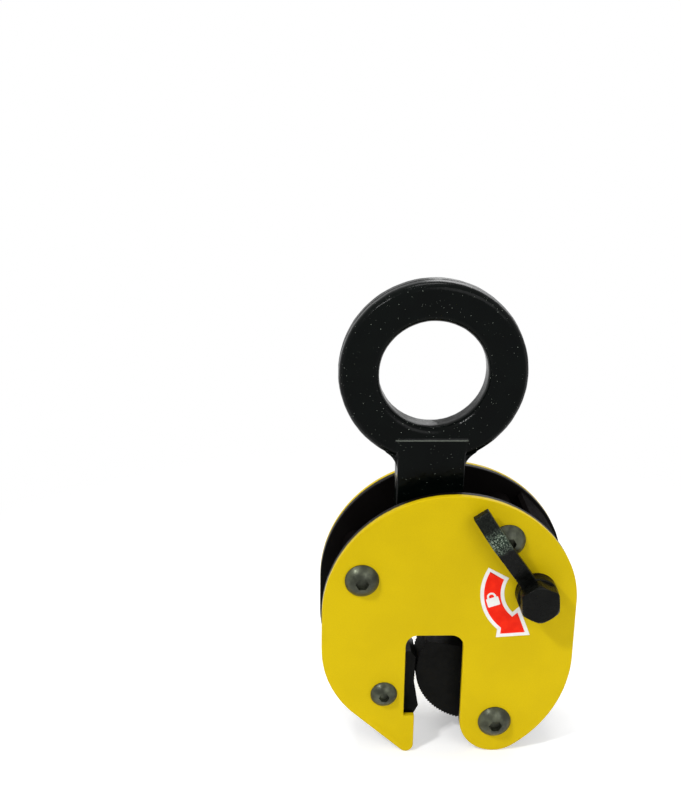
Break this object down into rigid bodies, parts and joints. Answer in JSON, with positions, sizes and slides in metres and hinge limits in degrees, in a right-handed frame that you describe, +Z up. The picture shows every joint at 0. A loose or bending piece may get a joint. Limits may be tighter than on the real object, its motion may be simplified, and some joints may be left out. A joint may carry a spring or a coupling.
{
  "type": "plate lifting clamp",
  "caption": "Vertical plate lifting clamp: round lifting eye on a shank, yellow side plates with a jaw throat, toothed cam against a fixed jaw, and a side lock lever.",
  "frame": {"origin": "centre of the lifting eye's bore, midway between the side plates", "axes": "+Y along the eye's bore, away from the lock lever's side; +Z up out of the housing; +X to the right seen from the lever's side"},
  "size_m": [0.1316, 0.0681, 0.2545],
  "materials": {
    "yellow_paint": "satin powder coat, with black paint inside",
    "forged_black": "glossy black paint over a forged skin",
    "black_paint": "satin black paint",
    "dark_steel": "blackened hardened steel",
    "black_oxide": "black oxide",
    "lever_black": "dark oxide, worn at the bend",
    "bright_steel": "ground",
    "zinc_steel": "zinc plated",
    "spring_steel": "bright drawn wire",
    "bronze": "turned",
    "label_vinyl": "red print on white vinyl"
  },
  "bodies": {
    "housing": {"front_plate": "yellow_paint", "rear_plate": "yellow_paint", "spacer_tubes": "black_paint", "side_guard": "black_paint", "jaw_block": "dark_steel", "jaw_pad": "dark_steel", "pad_screw": "black_oxide", "plate_screws_front": "black_oxide", "plate_screws_rear": "black_oxide", "jaw_screws": "black_oxide", "cam_shaft": "bright_steel", "cam_spacers": "dark_steel", "lever_bush": "black_oxide", "arrow_label": "label_vinyl", "lock_spring": "spring_steel"},
    "shackle": {"lifting_eye": "forged_black", "shank_pin": "bright_steel", "shank_pin_clips": "dark_steel"},
    "links": {"link_front": "dark_steel", "link_rear": "dark_steel"},
    "toothed_cam": {"cam": "dark_steel", "cam_bush": "bronze", "cam_pin": "bright_steel", "cam_pin_clips": "dark_steel", "spring_post": "bright_steel"},
    "lever": {"lock_lever": "lever_black", "lever_bolt": "lever_black", "lever_crank": "dark_steel", "crank_pin": "bright_steel", "crank_pin_clip": "dark_steel", "lever_nut": "zinc_steel"}
  },
  "joints": [
    {"name": "cam_turn", "type": "hinge", "parent": "housing", "child": "toothed_cam", "pos_m": [0.0372, 0, -0.1885], "axis": [0, 1, 0], "range_deg": [0, 47.6], "stiffness_Nm_per_rad": 0.5, "springref_deg": -45.84, "deforming": ["lock_spring"]},
    {"name": "shackle_drop", "type": "slide", "parent": "housing", "child": "shackle", "axis": [0, 0, -1], "range_m": [0, 0.0215]},
    {"name": "link_swing", "type": "hinge", "parent": "shackle", "child": "links", "pos_m": [0, 0, -0.0845], "axis": [0, -1, 0], "range_deg": [0, 12]},
    {"name": "lever_turn", "type": "hinge", "parent": "housing", "child": "lever", "pos_m": [0.0545, 0, -0.111], "axis": [0, -1, 0], "range_deg": [0, 100]}
  ],
  "couplings": [
    {"joint": "shackle_drop", "follows": "cam_turn", "m_per_rad": 0.02573},
    {"joint": "link_swing", "follows": "cam_turn", "ratio": 0.249}
  ]
}
